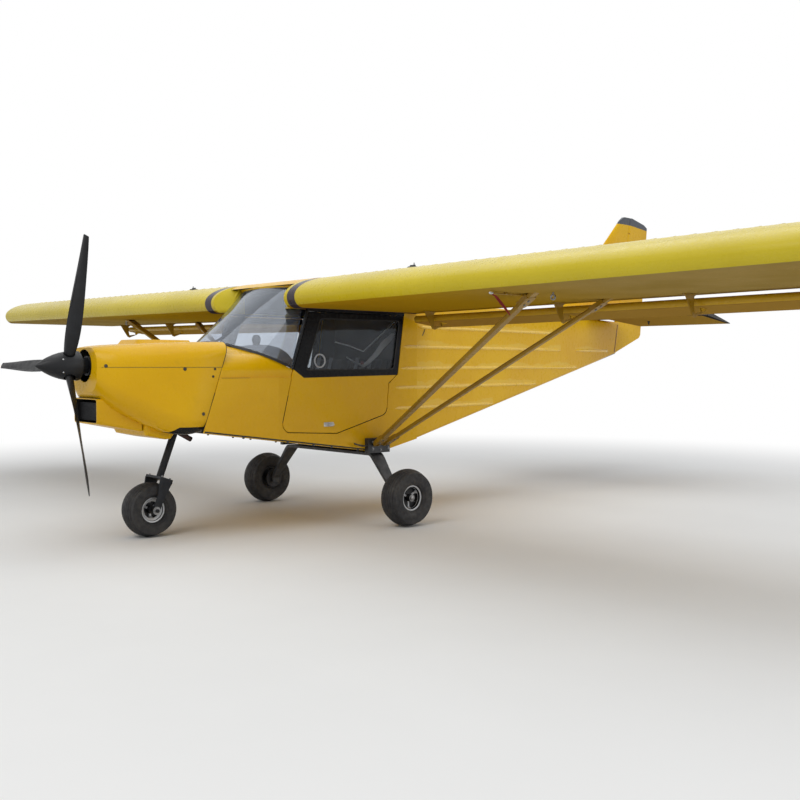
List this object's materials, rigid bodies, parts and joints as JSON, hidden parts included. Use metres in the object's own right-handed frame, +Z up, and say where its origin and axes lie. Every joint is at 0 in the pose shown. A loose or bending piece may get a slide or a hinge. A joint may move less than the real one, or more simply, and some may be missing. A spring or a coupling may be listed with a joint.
{
  "type": "two-seat high-wing ultralight aircraft",
  "caption": "High-wing ultralight aircraft with strut-braced wings, full-span flaperons, side doors, tricycle gear and a tractor propeller, standing parked.",
  "frame": {"origin": "on the ground, under the middle of the aircraft's bounding box", "axes": "+X to port, +Y aft, +Z up; the nose points to -Y"},
  "size_m": [9, 6.5564, 2.64],
  "materials": {
    "yellow_paint": "gloss",
    "black_frame": "satin",
    "black_metal": "satin",
    "propeller_black": "matte",
    "tyre": "matte",
    "wheel_metal": "satin",
    "steel": "satin",
    "exhaust_steel": "matte",
    "engine_metal": "matte",
    "clear_glazing": "gloss",
    "panel_grey": "matte",
    "seat_fabric": "matte"
  },
  "bodies": {
    "airframe": {"belly_pan": "yellow_paint", "brake_calipers": "wheel_metal", "cabin_roof": "yellow_paint", "control_stick": "black_metal", "engine": "engine_metal", "engine_mount": "steel", "exhaust": "exhaust_steel", "fin": "yellow_paint", "firewall": "steel", "flaperon_brackets": "yellow_paint", "front_strut_left": "yellow_paint", "front_strut_right": "yellow_paint", "gear_bow": "black_metal", "instrument_panel": "panel_grey", "lower_cowl": "yellow_paint", "main_axles": "steel", "nose_leg": "black_metal", "radiator": "black_metal", "rear_bulkhead": "panel_grey", "rear_fuselage": "yellow_paint", "rear_strut_left": "yellow_paint", "rear_strut_right": "yellow_paint", "seat_backs": "seat_fabric", "seat_cushions": "seat_fabric", "seat_shells": "panel_grey", "side_wall_left": "yellow_paint", "side_wall_right": "yellow_paint", "stabiliser": "yellow_paint", "strut_brackets": "black_metal", "tie_down_rings": "steel", "top_deck": "yellow_paint", "upper_cowl": "yellow_paint", "windscreen": "clear_glazing", "wing_left": "yellow_paint", "wing_right": "yellow_paint"},
    "propeller_unit": {"spinner": "propeller_black", "propeller": "propeller_black"},
    "main_wheel_left": {"main_left_rim": "wheel_metal", "main_left_tyre": "tyre"},
    "main_wheel_right": {"main_right_rim": "wheel_metal", "main_right_tyre": "tyre"},
    "steering": {"nose_fork": "black_metal"},
    "nose_wheel": {"nose_rim": "wheel_metal", "nose_tyre": "tyre"},
    "door_left_unit": {"door_left": "yellow_paint", "window_frame_left": "black_frame", "door_glass_left": "clear_glazing"},
    "door_right_unit": {"door_right": "yellow_paint", "window_frame_right": "black_frame", "door_glass_right": "clear_glazing"},
    "flaperon_left_unit": {"flaperon_left": "yellow_paint"},
    "flaperon_right_unit": {"flaperon_right": "yellow_paint"},
    "elevator_unit": {"elevator": "yellow_paint"},
    "rudder_unit": {"rudder": "yellow_paint"}
  },
  "joints": [
    {"name": "propeller_spin", "type": "hinge", "parent": "airframe", "child": "propeller_unit", "pos_m": [0, -3.045, 1.129], "axis": [0, 1, 0], "continuous": true},
    {"name": "main_wheel_left_spin", "type": "hinge", "parent": "airframe", "child": "main_wheel_left", "pos_m": [0.8495, -0.945, 0.202], "axis": [1, 0, 0], "continuous": true},
    {"name": "main_wheel_right_spin", "type": "hinge", "parent": "airframe", "child": "main_wheel_right", "pos_m": [-0.8495, -0.945, 0.202], "axis": [1, 0, 0], "continuous": true},
    {"name": "nose_steer", "type": "hinge", "parent": "airframe", "child": "steering", "pos_m": [0, -2.489, 0.18], "axis": [0, 0.3584, 0.9336], "range_deg": [-20, 20]},
    {"name": "nose_wheel_spin", "type": "hinge", "parent": "steering", "child": "nose_wheel", "pos_m": [0, -2.489, 0.18], "axis": [1, 0, 0], "continuous": true},
    {"name": "door_left_hinge", "type": "hinge", "parent": "airframe", "child": "door_left_unit", "pos_m": [0.504, -1.095, 1.5], "axis": [0, -1, 0], "range_deg": [0, 80]},
    {"name": "door_right_hinge", "type": "hinge", "parent": "airframe", "child": "door_right_unit", "pos_m": [-0.504, -1.095, 1.5], "axis": [0, 1, 0], "range_deg": [0, 80]},
    {"name": "flaperon_left_hinge", "type": "hinge", "parent": "airframe", "child": "flaperon_left_unit", "pos_m": [0.62, -0.545, 1.42973], "axis": [1, 0, 0.0096], "range_deg": [-20, 25]},
    {"name": "flaperon_right_hinge", "type": "hinge", "parent": "airframe", "child": "flaperon_right_unit", "pos_m": [-0.62, -0.545, 1.42973], "axis": [1, 0, -0.0096], "range_deg": [-20, 25]},
    {"name": "elevator_hinge", "type": "hinge", "parent": "airframe", "child": "elevator_unit", "pos_m": [0, 2.525, 1.606], "axis": [1, 0, 0], "range_deg": [0, 40]},
    {"name": "rudder_hinge", "type": "hinge", "parent": "airframe", "child": "rudder_unit", "pos_m": [0, 2.711, 1.25], "axis": [0, 0.2079, 0.9781], "range_deg": [-25, 25]}
  ]
}
